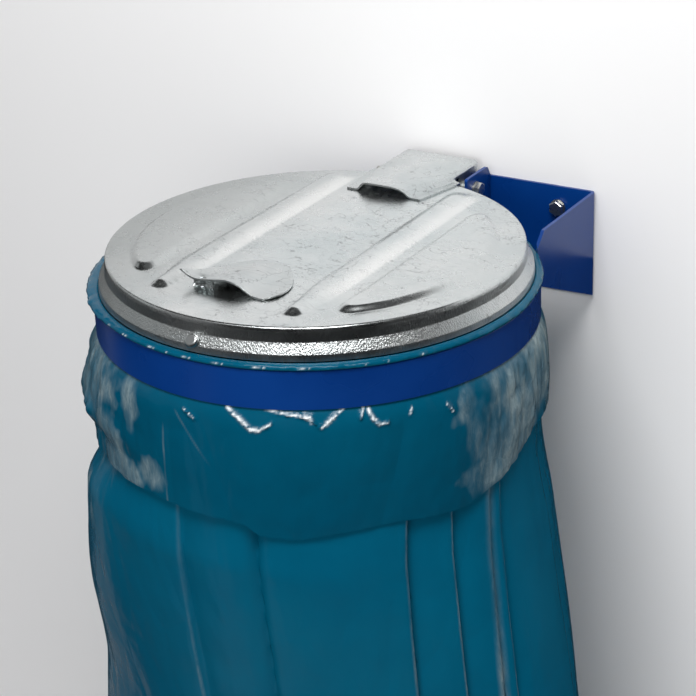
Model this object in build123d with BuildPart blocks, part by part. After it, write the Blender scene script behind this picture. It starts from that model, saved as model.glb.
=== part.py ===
"""Wall-mounted bin bag holder: a painted steel band on a folded wall bracket, an inner ring that
the bag's mouth is turned over, a hinged galvanised lid with a finger grip, and the bag itself.

Millimetres. +Z is up and +Y points at the wall. The wall's face is y = 0, x = 0 is the middle
plane of the band and the lid, and z = 0 is the band's top edge."""

from build123d import *
from math import cos, hypot, radians, sin, sqrt
import os

os.makedirs("parts", exist_ok=True)

# Painted outer band
band_radius = 200.0          # outside
band_height = 35.0
band_sheet = 2.5
band_stand_off = 46.0        # wall's face to the back of the band
rim_round = 0.8

# Film of the bag, thicker than the real film so that it makes a solid
film = 1.0
film_gap = 0.3               # air between the film and each ring

# Inner ring that carries the bag
inner_ring_sheet = 2.4
inner_ring_rise = 4.6        # its top above the band's top edge
inner_ring_height = 35.0

# Bag, lying flat 700 wide and hanging with its mouth turned over the inner ring
bag_half_width = 350.0
bag_drop = 905.0             # bottom seam below the band's top edge
cuff_drop = 118.0            # turned-over cuff below the band
cuff_bulge = 6.0             # cuff outside the band's own radius
cuff_folding = 0.35          # share of the folds' depth that the cuff has
seam_half = 2.5
bag_stations = [             # shares of the way down, of the way to flat, of the folds, side swell
    (0.0, 0.01, 0.75, 0.0),
    (0.05, 0.015, 0.9, 13.0),
    (0.14, 0.055, 1.0, 15.0),
    (0.37, 0.19, 1.0, 2.0),
    (0.65, 0.45, 1.0, 0.0),
    (0.86, 0.73, 0.7, 0.0),
]
swell_angle = -140.0         # where the film swells out below the cuff, degrees round the band
swell_width = 28.0
bag_folds = [                # angle at the band, angle at the foot, depth, side of the hollow
    (-128.0, -140.0, 5.5, 1),
    (-115.0, -124.0, 4.0, -1),
    (-96.0, -100.0, 4.5, 1),
    (-74.0, -84.0, 6.5, 1),
    (-34.3, -44.0, 7.5, 1),
    (-21.7, -36.0, 7.0, 1),
    (-8.4, -24.0, 5.0, 1),
    (-3.5, -17.0, 6.0, 1),
    (17.0, 10.0, 6.0, 1),
    (38.0, 30.0, 7.0, 1),
    (60.0, 64.0, 6.0, -1),
    (84.0, 88.0, 7.0, 1),
    (108.0, 112.0, 6.0, -1),
    (131.0, 124.0, 7.0, 1),
    (155.0, 160.0, 6.5, -1),
    (179.0, 176.0, 6.0, 1),
    (200.0, 196.0, 7.0, 1),
    (212.0, 210.0, 5.0, -1),
]
fold_lip = 0.3               # degrees from the fold's line to its lip, and to its hollow
fold_hollow = 0.9
fold_run = 6.0               # degrees over which the hollow comes half out again
facet_angle = 4.5            # widest facet of the film, degrees
seam_height = 12.0
fold_round = 1.2

# Lid
lid_sheet = 1.2
lid_top = 33.0               # flat top above the band's top edge
skirt_inset = 2.8            # skirt's lower edge inside the band's outside
lid_draft = 10.2             # crease inside the skirt's lower edge
crease_round = 3.0
wall_draft = 1.8             # upright wall leans out by this much
wall_height = 12.5
brim_fall = 9.0              # sloping brim's height
brim_inset = 0.8             # end of its slope inside the skirt's lower edge
brim_round = 2.4
lid_seat_gap = 0.3           # skirt's lower edge to the film's fold

# Two long ribs and two D-shaped pads raised in the lid
raised = 4.5
raised_slope = 48.0          # degrees from upright
raised_round = 2.0
rib_middle = 67.0            # from the lid's middle plane
rib_width = 31.0
rib_front_inset = 38.0       # front end inside the crease, measured along the middle plane
rib_back_inset = 19.0
pad_inner = 93.0             # straight edge, from the lid's middle plane
pad_inset = 22.0             # round edge inside the lid's crease
pad_corner_share = 0.278     # corner radius as a share of the pad's depth

# Hinge
hinge_back = 35.0            # axis to the wall
hinge_height = 19.5          # axis above the band's top edge
hinge_bolt_radius = 4.0
running = 0.05               # radial play of the bolt in its holes
side_play = 0.15
ear_inside = 46.5            # from the middle plane
ear_sheet = 3.0
ear_top_right = 34.0
ear_top_left = 28.0          # hidden behind the strap
ear_bottom = -30.0
ear_round = 4.0
ear_back_drop = 10.0         # rear corner is cut away above the wall plate
weld_gap = 0.2

# Strap that joins the lid to the hinge
strap_sheet = 2.0
strap_half = 40.0            # outside of its flanges
strap_rise = 6.8             # its top above the lid
strap_round = 6.0
strap_lap = 59.0             # length that lies on the lid, in front of its crease
strap_overhang = 24.0        # rear edge behind the hinge's axis
arch_half = 24.0             # opening at the front, half its width
arch_top_half = 15.0
arch_rise = 8.4
arch_round = 7.0
wing_front_half = 43.0
wing_back_half = 49.5
wing_lap = 9.0               # widest place of the wings, in front of the crease
knuckle_radius = 13.0

# Finger grip on the lid: heights of its underside above the lid, from left to right
grip_sheet = 1.5
grip_inset = 54.0            # front edge inside the crease
grip_depth = 71.0
grip_stations = (-50, -38, -28, -20, -5, 8, 17.5, 25, 36, 48)
grip_front_heights = (10.5, 7.0, 7.4, 8.6, 10.4, 7.4, 2.4, 0.3, 0.8, 1.4)
grip_back_heights = (0.8, 0.3, 0.3, 0.5, 1.0, 0.5, 0.3, 0.3, 0.3, 0.4)

# Domed rivet in the skirt
rivet_place = 0.62           # share of the way down the brim's slope
rivet_head_radius = 6.3
rivet_head_rise = 2.6
rivet_tail_radius = 3.8
rivet_shank_radius = 2.4
rivet_tail_rise = 1.4
rivet_gap = 0.1

# Wall bracket
plate_sheet = 3.0
plate_top = 23.0
plate_bottom = -82.0
plate_left = -49.5
gusset_inset = 40.0          # outer face of the gusset inside the band's right side
bend_radius = 2.0
gusset_front_bottom = -26.0
gusset_corner_cut = 14.0

# Hexagon bolts and washers
hex_flats = 13.0
hex_height = 5.3
hex_chamfer = 0.6
nut_height = 8.0
thread_chamfer = 1.0
washer_radius = 8.0
washer_sheet = 1.6
washer_bore = 4.5
spacer_radius = 7.0
wall_bolt_radius = 4.0
wall_bolt_reach = 38.0       # shank behind the wall's face
wall_neck_radius = 4.3       # plain neck through the washer and the plate
wall_neck_rise = 0.5         # neck behind the wall's face
wall_bolts = {
    "upper_right": (122.0, 2.0),
    "lower_right": (122.0, -61.0),
    "lower_left": (-9.0, -61.0),
}

# Worked out from the sizes above
ring_reach = band_stand_off + band_radius
axis_y = -ring_reach
hinge_y = -hinge_back
skirt_radius = band_radius - skirt_inset
crease_radius = skirt_radius - lid_draft
wall_foot = (crease_radius + wall_draft, lid_top - wall_height)
flare_end = (skirt_radius - brim_inset, wall_foot[1] - brim_fall)
pad_radius = crease_radius - pad_inset
pad_corner = pad_corner_share * (pad_radius - pad_inner)
rib_front = rib_front_inset - crease_radius
rib_back = crease_radius - rib_back_inset
strap_front = crease_radius - strap_lap
wing_back = crease_radius - wing_lap
grip_front = grip_inset - crease_radius
grip_back = grip_front + grip_depth
plate_right = band_radius - gusset_inset
cuff_radius = band_radius + cuff_bulge
film_outer = band_radius - band_sheet - film_gap
ring_outer = film_outer - film - film_gap
ring_inner = ring_outer - inner_ring_sheet
film_inner = ring_inner - film_gap - film
film_top = inner_ring_rise + film_gap + film
skirt_bottom = film_top + lid_seat_gap
strap_back = hinge_y + strap_overhang
strap_top = lid_top + strap_rise
gusset_reach = sqrt(band_radius**2 - plate_right**2) - ring_reach
hex_radius = hex_flats / sqrt(3)
ear_outside = ear_inside + ear_sheet
head_seat = ear_outside + washer_sheet


def level(z):
    """Horizontal plane with its origin on the band's axis."""
    return Plane(origin=(0, axis_y, z))


def across(y):
    """Upright plane facing the front, y from the band's axis; its own y points up."""
    return Plane(origin=(0, axis_y + y, 0), x_dir=(1, 0, 0), z_dir=(0, -1, 0))


def side(x):
    """Upright plane seen from the right; its own x points at the wall and its y up."""
    return Plane(origin=(x, 0, 0), x_dir=(0, 1, 0), z_dir=(1, 0, 0))


def facing(x, y, z, outward):
    return Plane(origin=(x, y, z), z_dir=outward)


def save(builder, label):
    builder.part.label = label
    export_step(builder.part, f"parts/{label}.step")


def rolled_ring(outside, inside, top, height, label):
    """Strip of sheet rolled into a ring, its edges broken."""
    with BuildPart() as ring:
        with BuildSketch(level(top - height)):
            Circle(outside)
            Circle(inside, mode=Mode.SUBTRACT)
        extrude(amount=height)
        rims = ring.faces().filter_by(Axis.Z).edges()
        fillet(rims, radius=rim_round)
    save(ring, label)


rolled_ring(band_radius, band_radius - band_sheet, 0, band_height, "outer_ring")
rolled_ring(ring_outer, ring_inner, inner_ring_rise, inner_ring_height, "inner_ring")

# Wall plate with the gusset folded forward to the band
gusset_inside = plate_right - plate_sheet
gusset_middle = plate_right - plate_sheet / 2
beyond = 20.0
with BuildPart() as wall_bracket:
    with BuildSketch(Plane.XY.offset(plate_bottom)):
        with BuildLine():
            Polyline(
                (plate_left, 0),
                (plate_right, 0),
                (plate_right, gusset_reach),
                (gusset_inside, gusset_reach),
                (gusset_inside, -plate_sheet),
                (plate_left, -plate_sheet),
                close=True,
            )
        make_face()
    extrude(amount=plate_top - plate_bottom)
    upright = wall_bracket.edges().filter_by(Axis.Z)
    outer_bend = upright.sort_by_distance((plate_right, 0, (plate_top + plate_bottom) / 2))[0]
    inner_bend = upright.sort_by_distance((gusset_inside, -plate_sheet, (plate_top + plate_bottom) / 2))[0]
    fillet(outer_bend, radius=bend_radius + plate_sheet)
    fillet(inner_bend, radius=bend_radius)
    with BuildSketch(side(gusset_middle)):
        with BuildLine():
            Polyline(
                (-plate_sheet - bend_radius, plate_bottom),
                (gusset_reach, gusset_front_bottom),
                (gusset_reach - beyond, gusset_front_bottom),
                (gusset_reach - beyond, plate_bottom - beyond),
                (-plate_sheet - bend_radius, plate_bottom - beyond),
                close=True,
            )
        make_face()
        with BuildLine():
            Polyline(
                (gusset_reach + gusset_corner_cut, plate_top + 1),
                (gusset_reach + gusset_corner_cut, plate_top),
                (gusset_reach, plate_top - gusset_corner_cut),
                (gusset_reach - beyond, plate_top - gusset_corner_cut),
                (gusset_reach - beyond, plate_top + 1),
                close=True,
            )
        make_face()
    extrude(amount=plate_sheet, both=True, mode=Mode.SUBTRACT)
    with BuildSketch(level(plate_bottom)):
        Circle(band_radius + weld_gap)
    extrude(amount=plate_top - plate_bottom, mode=Mode.SUBTRACT)
    with BuildSketch(Plane.XZ):
        with Locations(*wall_bolts.values()):
            Circle(washer_bore)
    extrude(amount=plate_sheet, mode=Mode.SUBTRACT)
save(wall_bracket, "wall_bracket")


def hinge_ear(inside, outward, ear_top, label):
    """Upright ear between the wall plate and the band, drilled for the hinge bolt."""
    back = -plate_sheet - weld_gap
    front = axis_y + sqrt(band_radius**2 - ear_outside**2)
    with BuildPart() as ear:
        with BuildSketch(side(inside)) as outline:
            with BuildLine():
                Polyline(
                    (back, ear_bottom),
                    (back, ear_top - ear_back_drop),
                    (back - 0.6 * ear_back_drop, ear_top),
                    (front, ear_top),
                    (front, ear_bottom),
                    close=True,
                )
            make_face()
            fillet(outline.vertices().group_by(Axis.Y)[-1], radius=ear_round)
            with Locations((hinge_y, hinge_height)):
                Circle(hinge_bolt_radius + running, mode=Mode.SUBTRACT)
        extrude(amount=outward * ear_sheet)
        with BuildSketch(level(ear_bottom)):
            Circle(band_radius + weld_gap)
        extrude(amount=ear_top - ear_bottom, mode=Mode.SUBTRACT)
    save(ear, label)


hinge_ear(ear_inside, 1, ear_top_right, "hinge_ear_right")
hinge_ear(-ear_inside, -1, ear_top_left, "hinge_ear_left")


def collar(place, outside, bore, thickness, label):
    """Washer or spacer."""
    with BuildPart() as piece:
        with BuildSketch(place):
            Circle(outside)
            Circle(bore, mode=Mode.SUBTRACT)
        extrude(amount=thickness)
    save(piece, label)


def hex_bolt(place, shank_radius, shank_length, label, neck_radius=0.0, neck_length=0.0):
    """Hexagon bolt: head along the plane's normal, shank the other way, with a thicker neck."""
    with BuildPart() as bolt:
        with BuildSketch(place):
            RegularPolygon(hex_radius, 6)
        extrude(amount=hex_height)
        along = Axis(place.origin, place.z_dir)
        chamfer(bolt.faces().sort_by(along)[-1].edges(), length=hex_chamfer)
        with BuildSketch(place):
            Circle(shank_radius)
        extrude(amount=-shank_length)
        chamfer(bolt.faces().sort_by(along)[0].edges(), length=thread_chamfer)
        if neck_length:
            with BuildSketch(place):
                Circle(neck_radius)
            extrude(amount=-neck_length)
    save(bolt, label)


for place_name, (bolt_x, bolt_z) in wall_bolts.items():
    seat = facing(bolt_x, -plate_sheet, bolt_z, (0, -1, 0))
    collar(seat, washer_radius, washer_bore, washer_sheet, f"wall_washer_{place_name}")
    seat = facing(bolt_x, -plate_sheet - washer_sheet, bolt_z, (0, -1, 0))
    shank = washer_sheet + plate_sheet + wall_bolt_reach
    neck = washer_sheet + plate_sheet + wall_neck_rise
    hex_bolt(seat, wall_bolt_radius, shank, f"wall_bolt_{place_name}", wall_neck_radius, neck)

# Hinge bolt, its washers, the lock nut and the spacers beside the strap
hex_bolt(
    facing(head_seat, hinge_y, hinge_height, (1, 0, 0)),
    hinge_bolt_radius,
    2 * head_seat + nut_height + 2 * thread_chamfer,
    "hinge_bolt",
)
for side_name, outward in (("right", 1), ("left", -1)):
    place = facing(outward * ear_outside, hinge_y, hinge_height, (outward, 0, 0))
    bore = hinge_bolt_radius + running
    collar(place, washer_radius, bore, washer_sheet, f"hinge_washer_{side_name}")
    place = facing(outward * (strap_half + side_play), hinge_y, hinge_height, (outward, 0, 0))
    length = ear_inside - strap_half - 2 * side_play
    collar(place, spacer_radius, bore, length, f"hinge_spacer_{side_name}")

with BuildPart() as hinge_nut:
    with BuildSketch(facing(-head_seat, hinge_y, hinge_height, (-1, 0, 0))):
        RegularPolygon(hex_radius, 6)
    extrude(amount=nut_height)
    chamfer(hinge_nut.faces().sort_by(Axis.X)[0].edges(), length=hex_chamfer)
    with BuildSketch(facing(-head_seat, hinge_y, hinge_height, (-1, 0, 0))):
        Circle(hinge_bolt_radius + running)
    extrude(amount=nut_height, mode=Mode.SUBTRACT)
save(hinge_nut, "hinge_nut")


def raised_outlines(inset):
    """Plan of the two ribs and the two pads."""
    rib_length = rib_back - rib_front - 2 * inset
    with Locations(*[(x, (rib_front + rib_back) / 2) for x in (-rib_middle, rib_middle)]):
        SlotOverall(rib_length, rib_width - 2 * inset, rotation=90)
    with BuildSketch(mode=Mode.PRIVATE) as pad:
        Circle(pad_radius - inset)
        with Locations((pad_inner + inset - pad_radius, 0)):
            Rectangle(2 * pad_radius, 2 * pad_radius, mode=Mode.SUBTRACT)
        fillet(pad.vertices(), radius=pad_corner - inset)
    add(pad.sketch)
    add(pad.sketch, rotation=180)


# Seat of the rivet in the front of the brim, square to its slope
brim_run = flare_end[0] - wall_foot[0]
brim_length = hypot(brim_run, brim_fall)
brim_line = Plane(
    origin=(
        0,
        axis_y - wall_foot[0] + lid_sheet / 2 - rivet_place * brim_run,
        wall_foot[1] - rivet_place * brim_fall,
    ),
    x_dir=(1, 0, 0),
    z_dir=(0, -brim_fall / brim_length, brim_run / brim_length),
)
rivet_seat = brim_line.offset(lid_sheet / 2)

# Lid: a flat top, an upright wall, a sloping brim and a short upright edge, pressed from one sheet
with BuildPart() as lid_shell:
    with BuildSketch(across(0)):
        with BuildLine():
            FilletPolyline(
                (0, lid_top - lid_sheet / 2),
                (crease_radius - lid_sheet / 2, lid_top - lid_sheet / 2),
                (wall_foot[0] - lid_sheet / 2, wall_foot[1]),
                (flare_end[0] - lid_sheet / 2, flare_end[1]),
                (skirt_radius - lid_sheet / 2, skirt_bottom),
                radius=brim_round,
            )
        trace(line_width=lid_sheet)
        with Locations((-skirt_radius, 0)):
            Rectangle(2 * skirt_radius, 4 * lid_top, mode=Mode.SUBTRACT)
    revolve(axis=Axis((0, axis_y, 0), (0, 0, 1)))
    with BuildSketch(level(lid_top)):
        raised_outlines(0)
    extrude(amount=raised, taper=raised_slope)
    with BuildSketch(level(lid_top - lid_sheet)):
        raised_outlines(lid_sheet)
    extrude(amount=raised, taper=raised_slope, mode=Mode.SUBTRACT)
    brows = lid_shell.faces().filter_by(Axis.Z).filter_by_position(
        Axis.Z, lid_top + raised - 0.01, lid_top + raised + 0.01
    )
    fillet(brows.edges(), radius=raised_round)
    with BuildSketch(rivet_seat):
        Circle(rivet_shank_radius + running)
    extrude(amount=2 * lid_sheet, both=True, mode=Mode.SUBTRACT)
save(lid_shell, "lid_shell")

# Rivet in the front of the brim
with BuildPart() as front_rivet:
    with BuildSketch(rivet_seat.offset(rivet_gap)):
        Circle(rivet_head_radius)
    extrude(amount=rivet_head_rise)
    outer_rim = front_rivet.faces().sort_by(Axis(rivet_seat.origin, rivet_seat.z_dir))[-1].edges()
    fillet(outer_rim, radius=rivet_head_rise - rivet_gap)
    with BuildSketch(rivet_seat.offset(rivet_gap)):
        Circle(rivet_shank_radius)
    extrude(amount=-(lid_sheet + 3 * rivet_gap))
    with BuildSketch(rivet_seat.offset(-lid_sheet - rivet_gap)):
        Circle(rivet_tail_radius)
    extrude(amount=-rivet_tail_rise)
save(front_rivet, "front_rivet")


def hump(y, foot_half, top_half, top, corner, inset):
    """Section of the strap's hump above the lid; inset gives the hollow below the sheet."""
    with BuildSketch(across(y)) as section:
        with BuildLine():
            Polyline(
                (-foot_half + inset, lid_top),
                (-top_half + inset, top - inset),
                (top_half - inset, top - inset),
                (foot_half - inset, lid_top),
                close=True,
            )
        make_face()
        fillet(section.vertices().group_by(Axis.Y)[-1], radius=corner - inset)
    return section.sketch


# Hinge strap: an arched hump on the lid that widens into a channel with two flanges
strap_channel = crease_radius - lid_sheet
strap_end = strap_back - axis_y
knuckle_front = hinge_y - knuckle_radius - axis_y
knuckle_rear = hinge_y + knuckle_radius - axis_y
flange_bottom = hinge_height - knuckle_radius


def strap_humps(inset):
    front = hump(strap_front, arch_half, arch_top_half, lid_top + arch_rise, arch_round, inset)
    back = hump(strap_channel, strap_half, strap_half, strap_top, strap_round, inset)
    return [front, back]


with BuildPart() as hinge_strap:
    loft(strap_humps(0), ruled=True)
    with BuildSketch(level(lid_top)):
        with BuildLine():
            Polyline(
                (-wing_front_half, strap_front),
                (wing_front_half, strap_front),
                (wing_back_half, wing_back),
                (strap_half, strap_channel),
                (-strap_half, strap_channel),
                (-wing_back_half, wing_back),
                close=True,
            )
        make_face()
    extrude(amount=strap_sheet)
    loft(strap_humps(strap_sheet), ruled=True, mode=Mode.SUBTRACT)
    with BuildSketch(across(strap_channel)) as channel:
        with Locations((0, (strap_top + flange_bottom) / 2)):
            Rectangle(2 * strap_half, strap_top - flange_bottom)
        fillet(channel.vertices().group_by(Axis.Y)[-1], radius=strap_round)
    extrude(amount=-(strap_end - strap_channel))
    with BuildSketch(across(strap_channel)) as hollow:
        with Locations((0, (strap_top + flange_bottom) / 2 - strap_sheet)):
            Rectangle(2 * (strap_half - strap_sheet), strap_top - flange_bottom)
        fillet(hollow.vertices().group_by(Axis.Y)[-1], radius=strap_round - strap_sheet)
    extrude(amount=-(strap_end - strap_channel), mode=Mode.SUBTRACT)
    with BuildSketch(side(0)):
        with BuildLine():
            Polyline(
                (axis_y + strap_channel - 1, flange_bottom - 1),
                (axis_y + strap_channel - 1, lid_top),
                (axis_y + knuckle_front, lid_top),
                (axis_y + knuckle_front, hinge_height),
                (axis_y + knuckle_rear, hinge_height),
                (strap_back, lid_top),
                (strap_back + 1, lid_top),
                (strap_back + 1, flange_bottom - 1),
                close=True,
            )
        make_face()
        with Locations((hinge_y, hinge_height)):
            Circle(knuckle_radius, mode=Mode.SUBTRACT)
            Circle(hinge_bolt_radius + running)
    extrude(amount=strap_half + 1, both=True, mode=Mode.SUBTRACT)
save(hinge_strap, "hinge_strap")


def grip_section(y, heights):
    """Wavy section of the grip, the heights being those of its underside above the lid."""
    lower = [(x, lid_top + h) for x, h in zip(grip_stations, heights)]
    upper = [(x, z + grip_sheet) for x, z in lower]
    with BuildSketch(across(y)) as section:
        with BuildLine():
            Spline(*lower)
            Spline(*upper)
            Line(lower[0], upper[0])
            Line(lower[-1], upper[-1])
        make_face()
    return section.sketch


# Finger grip: a pressed plate, arched at its front edge and flat at its back
grip_half = grip_stations[-1]
with BuildPart() as lid_handle:
    front_wave = grip_section(grip_front, grip_front_heights)
    back_wave = grip_section(grip_back, grip_back_heights)
    loft([front_wave, back_wave], ruled=True)
    with BuildSketch(level(lid_top)):
        with BuildLine():
            Line((grip_stations[0] + 1, grip_front), (0.67 * grip_half, grip_front))
            Spline(
                (0.67 * grip_half, grip_front),
                (0.82 * grip_half, grip_front + 14),
                (0.75 * grip_half, grip_front + 40),
                (0.4 * grip_half, grip_back + 2),
                (0, grip_back),
                (-0.5 * grip_half, grip_back + 6),
                (-0.82 * grip_half, grip_front + 36),
                (grip_stations[0] + 3, grip_front + 14),
                (grip_stations[0] + 1, grip_front),
            )
        make_face()
    extrude(amount=beyond, mode=Mode.INTERSECT)
save(lid_handle, "lid_handle")


# Facets between the folds' corners: the same number at every height, enough to clear the rings
outline_parts = []
for number, (top, foot, depth, hand) in enumerate(bag_folds):
    following = bag_folds[(number + 1) % len(bag_folds)][0]
    open_angle = (following - top) % 360
    outline_parts += [1, 1, 1, max(1, round(open_angle / facet_angle))]


def fold_angle(fold, z):
    """A fold's line drifts round the bag on its way down."""
    top, foot, depth, hand = fold
    return top + (foot - top) * min(1, max(0, -z / bag_drop))


def film_section(z, half_x, half_y, folding, swell, inset):
    """Outline of the film at one height: an oval with its folds, facet by facet."""
    lines = [fold_angle(fold, z) for fold in bag_folds]
    before = [lines[-1] - 360] + lines[:-1]
    after = lines[1:] + [lines[0] + 360]
    corners = []
    for line, last, following, (top, foot, depth, hand) in zip(lines, before, after, bag_folds):
        run = min(fold_run, 0.45 * (following - line if hand > 0 else line - last))
        places = [(-2 * fold_hollow, 0), (-fold_lip, 0), (fold_hollow, 1), (run, 0.5)]
        corners += [(line + hand * turn, sunk * depth * folding) for turn, sunk in places[::hand]]
    points = []
    ends = corners[1:] + [(corners[0][0] + 360, corners[0][1])]
    for (start, start_sunk), (end, end_sunk), parts in zip(corners, ends, outline_parts):
        for part in range(parts):
            degrees_round = start + (end - start) * part / parts
            sunk = start_sunk + (end_sunk - start_sunk) * part / parts
            away = (degrees_round - swell_angle + 180) % 360 - 180
            wave = swell * 2 ** (-((away / swell_width) ** 2)) - sunk - inset
            angle = radians(degrees_round)
            points.append(((half_x + wave) * cos(angle), (half_y + wave) * sin(angle)))
    with BuildSketch(level(z)) as outline:
        with BuildLine():
            Polyline(*points, close=True)
        make_face()
    return outline.sketch


def film_stack(sections, inset=0.0):
    """Solid through the sections, or the hollow inside the film with an inset."""
    with BuildPart() as stack:
        loft([film_section(*section, inset) for section in sections], ruled=True)
    return stack.part


# Bag: the film turned over the inner ring, its cuff outside the band and the bag hanging below
hang_radius = film_inner + film
under_band = -band_height
under_fold = film_top - film
inner_ring_foot = inner_ring_rise - inner_ring_height
cuff_bottom = under_band - cuff_drop
hanging = [
    (inner_ring_foot - 6, hang_radius, hang_radius, 0, 0),
    (under_band - 40, hang_radius + 5, hang_radius + 5, 0.4, 0),
]
for share, flat_share, folding, swell in bag_stations:
    height = cuff_bottom - share * (bag_drop + cuff_bottom)
    half_x = hang_radius + 10 + share * (bag_half_width - hang_radius - 10)
    half_y = hang_radius + 10 - flat_share * (hang_radius + 10)
    hanging.append((height, half_x, half_y, folding, swell))
seam_end = (-bag_drop, bag_half_width, seam_half, 0, 0)
seam_start = (seam_height - bag_drop, bag_half_width - 5, 3 * seam_half, 0.05, 0)
cuff = [
    (under_band - 4, film_outer, film_outer, 0, 0),
    (under_band - 24, cuff_radius + 1, cuff_radius + 1, cuff_folding, 0),
    (under_band - 65, cuff_radius + 3, cuff_radius + 3, cuff_folding, 6),
    (cuff_bottom, cuff_radius + 2, cuff_radius + 2, cuff_folding, 0),
]
fold = [
    (film_top, film_outer - fold_round, film_outer - fold_round, 0, 0),
    (film_top - fold_round / 2, film_outer, film_outer, 0, 0),
]
with BuildPart() as bin_bag:
    add(film_stack(fold + cuff))
    add(film_stack([(under_fold, film_outer, film_outer, 0, 0)] + cuff, film), mode=Mode.SUBTRACT)
    top = (hang_radius, hang_radius, 0, 0)
    add(film_stack([(under_fold + film / 2, *top)] + hanging + [seam_start, seam_end]))
    add(film_stack([(film_top, *top)] + hanging + [seam_start], film), mode=Mode.SUBTRACT)
save(bin_bag, "bin_bag")
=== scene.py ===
"""Wall-mounted bin bag holder: painted band and bracket, galvanised lid with its grip and hinge,
and a teal film bag turned over the ring. Metres; the wall's face is y = 0."""

from math import atan2, cos, degrees, exp, hypot, pi, radians, sin, tan
import bpy
from mathutils import Matrix, Vector, noise


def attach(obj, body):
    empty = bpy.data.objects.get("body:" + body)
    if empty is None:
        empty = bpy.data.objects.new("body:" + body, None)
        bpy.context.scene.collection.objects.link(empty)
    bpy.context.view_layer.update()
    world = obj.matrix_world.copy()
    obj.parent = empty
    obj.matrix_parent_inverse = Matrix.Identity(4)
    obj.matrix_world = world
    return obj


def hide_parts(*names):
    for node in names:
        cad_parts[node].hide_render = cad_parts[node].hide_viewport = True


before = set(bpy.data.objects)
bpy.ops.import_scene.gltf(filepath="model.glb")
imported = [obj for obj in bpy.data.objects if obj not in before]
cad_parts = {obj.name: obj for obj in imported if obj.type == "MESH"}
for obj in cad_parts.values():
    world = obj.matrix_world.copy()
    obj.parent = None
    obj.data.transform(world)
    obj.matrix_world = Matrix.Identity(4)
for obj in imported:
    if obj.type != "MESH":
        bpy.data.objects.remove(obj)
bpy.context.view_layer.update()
scene = bpy.context.scene
scene.view_settings.view_transform = "Standard"

MM = 0.001
AXIS_Y = -246.0              # middle of the band, millimetres from the wall
BAND_FOOT = -35.0
LID_TOP = 33.0
FLOOR_Z = -930.0


# Modelling helpers

def nothing_selected():
    if bpy.context.object and bpy.context.object.mode != "OBJECT":
        bpy.ops.object.mode_set(mode="OBJECT")
    bpy.ops.object.select_all(action="DESELECT")


def named(name):
    """The new primitive gets its name and takes its place into its mesh."""
    piece = bpy.context.object
    piece.name = piece.data.name = name
    bpy.ops.object.transform_apply(location=True, rotation=True, scale=True)
    return piece


def ring_stack(name, rings, steps):
    """Tube drawn ring by ring: a circle is extruded and resized to each (radius, height)."""
    nothing_selected()
    radius, height = rings[0]
    bpy.ops.mesh.primitive_circle_add(
        vertices=steps, radius=radius * MM, location=(0, AXIS_Y * MM, height * MM))
    tube = named(name)
    bpy.ops.object.mode_set(mode="EDIT")
    bpy.ops.mesh.select_all(action="SELECT")
    for next_radius, next_height in rings[1:]:
        rise = (next_height - height) * MM
        bpy.ops.mesh.extrude_region_move(TRANSFORM_OT_translate={"value": (0, 0, rise)})
        grow = next_radius / radius
        bpy.ops.transform.resize(
            value=(grow, grow, 1), center_override=(0, AXIS_Y * MM, next_height * MM))
        radius, height = next_radius, next_height
    bpy.ops.object.mode_set(mode="OBJECT")
    return tube


def alone(piece):
    """Only this piece is selected, and it is the active one."""
    nothing_selected()
    piece.select_set(True)
    bpy.context.view_layer.objects.active = piece


def on_all_faces(piece, operator, **settings):
    """One edit-mode operator acts on the whole piece."""
    alone(piece)
    bpy.ops.object.mode_set(mode="EDIT")
    bpy.ops.mesh.select_all(action="SELECT")
    operator(**settings)
    bpy.ops.object.mode_set(mode="OBJECT")


def modified(piece, kind, **settings):
    alone(piece)
    modifier = piece.modifiers.new(kind.title(), kind)
    for key, value in settings.items():
        setattr(modifier, key, value)
    bpy.ops.object.modifier_apply(modifier=modifier.name)


def picked(piece, test):
    """Select the vertices whose index passes the test, and stay in edit mode."""
    bpy.ops.object.mode_set(mode="EDIT")
    bpy.ops.mesh.select_all(action="DESELECT")
    bpy.ops.object.mode_set(mode="OBJECT")
    for vertex in piece.data.vertices:
        vertex.select = test(vertex.index)
    bpy.ops.object.mode_set(mode="EDIT")


def smoothed(piece, angle):
    alone(piece)
    bpy.ops.object.shade_smooth_by_angle(angle=radians(angle))


def ease(low, high, value):
    """0 below low, 1 above high, smooth between."""
    share = min(1.0, max(0.0, (value - low) / (high - low)))
    return share * share * (3 - 2 * share)


def between(table, value):
    """Value read off a table of (place, value) pairs, straight between them."""
    if value <= table[0][0]:
        return table[0][1]
    for (low, first), (high, last) in zip(table, table[1:]):
        if value <= high:
            return first + (last - first) * (value - low) / (high - low)
    return table[-1][1]


def off_angle(angle, middle):
    return (angle - middle + 180) % 360 - 180


def near(angle, middle, width):
    return exp(-(off_angle(angle, middle) / width) ** 2)


# Shader helpers

class Signal:
    """Output of a node; sums and products of signals add their Math nodes."""

    def __init__(self, finish, socket):
        self.finish, self.socket = finish, socket

    def maths(self, operation, first, last):
        return self.finish.node("ShaderNodeMath", {"operation": operation}, {0: first, 1: last})

    def __add__(self, other):
        return self.maths("ADD", self, other)

    def __sub__(self, other):
        return self.maths("SUBTRACT", self, other)

    def __rsub__(self, other):
        return self.maths("SUBTRACT", other, self)

    def __mul__(self, other):
        return self.maths("MULTIPLY", self, other)

    def size(self):
        return self.maths("ABSOLUTE", self, 0.0)

    __radd__ = __add__
    __rmul__ = __mul__

    def span(self, low, high, first=0.0, last=1.0):
        """The signal's low to high becomes first to last, and stops there."""
        return self.finish.node("ShaderNodeMapRange", {"clamp": True},
                                {"Value": self, 1: low, 2: high, 3: first, 4: last}, "Result")


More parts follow.
